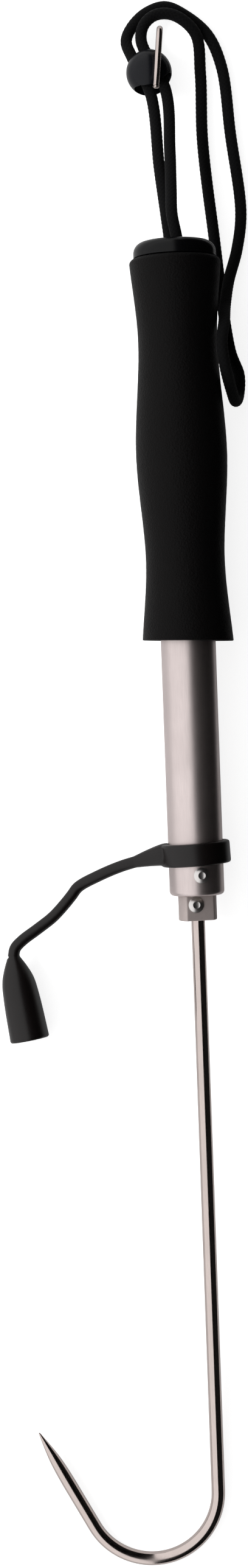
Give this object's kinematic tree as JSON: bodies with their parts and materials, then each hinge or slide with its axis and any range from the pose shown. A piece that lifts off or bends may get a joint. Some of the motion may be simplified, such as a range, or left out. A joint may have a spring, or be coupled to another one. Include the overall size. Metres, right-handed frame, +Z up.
{
  "type": "fishing gaff",
  "caption": "Hand gaff: foam-gripped tube handle with a lanyard, a twist-lock hook of steel wire that slides into the handle, and a tethered rubber point guard.",
  "frame": {"origin": "centre of the bottom of the gaff's bounding box without the lanyard, on the surface that it lies on", "axes": "+Y along the gaff from the hook towards the lanyard, +Z up from the surface, +X to the right of one who looks from the hook's end with the hook's point on the left"},
  "size_m": [0.1003, 0.5769, 0.0389],
  "materials": {
    "satin_aluminium": "satin anodised tube with fine lengthwise drawing marks",
    "grip_foam": "closed-cell black foam, matt and finely pored",
    "plug_plastic": "moulded black plastic, satin",
    "lanyard_cord": "braided black cord",
    "nylon": "natural turned nylon",
    "rivet_steel": "bright domed rivet heads",
    "holder_steel": "turned steel with a milled flat",
    "hook_steel": "polished stainless wire",
    "cam_brass": "turned brass",
    "guard_rubber": "moulded black rubber, semi-matt",
    "ball_plastic": "moulded black plastic with a soft sheen"
  },
  "bodies": {
    "handle": {"handle_tube": "satin_aluminium", "foam_grip": "grip_foam", "end_plug": "plug_plastic", "cord_knot": "lanyard_cord", "mouth_bush": "nylon", "bush_rivet": "rivet_steel", "lanyard_cord": "lanyard_cord"},
    "lock_sleeve": {"lock_sleeve": "nylon"},
    "hook_section": {"hook_holder": "holder_steel", "hook_rivet": "rivet_steel", "hook": "hook_steel", "lock_cam": "cam_brass", "cam_pin": "rivet_steel"},
    "point_guard": {"point_guard": "guard_rubber"},
    "cord_slider": {"slider_ball": "ball_plastic", "pocket_clip": "hook_steel"}
  },
  "joints": [
    {"name": "hook_slide", "type": "slide", "parent": "handle", "child": "lock_sleeve", "axis": [0, 0.9991, 0.0417], "range_m": [0, 0.135]},
    {"name": "hook_twist", "type": "hinge", "parent": "lock_sleeve", "child": "hook_section", "pos_m": [0.02805, 0.03672, 0.01404], "axis": [0, 0.9991, 0.0417], "range_deg": [0, 120]},
    {"name": "guard_turn", "type": "hinge", "parent": "handle", "child": "point_guard", "pos_m": [0.02805, 0.02014, 0.01335], "axis": [0, 0.9991, 0.0417], "continuous": true},
    {"name": "slider_slide", "type": "slide", "parent": "handle", "child": "cord_slider", "axis": [0.2158, -0.9565, 0.1962], "range_m": [0, 0.02], "deforming": ["lanyard_cord"]}
  ]
}
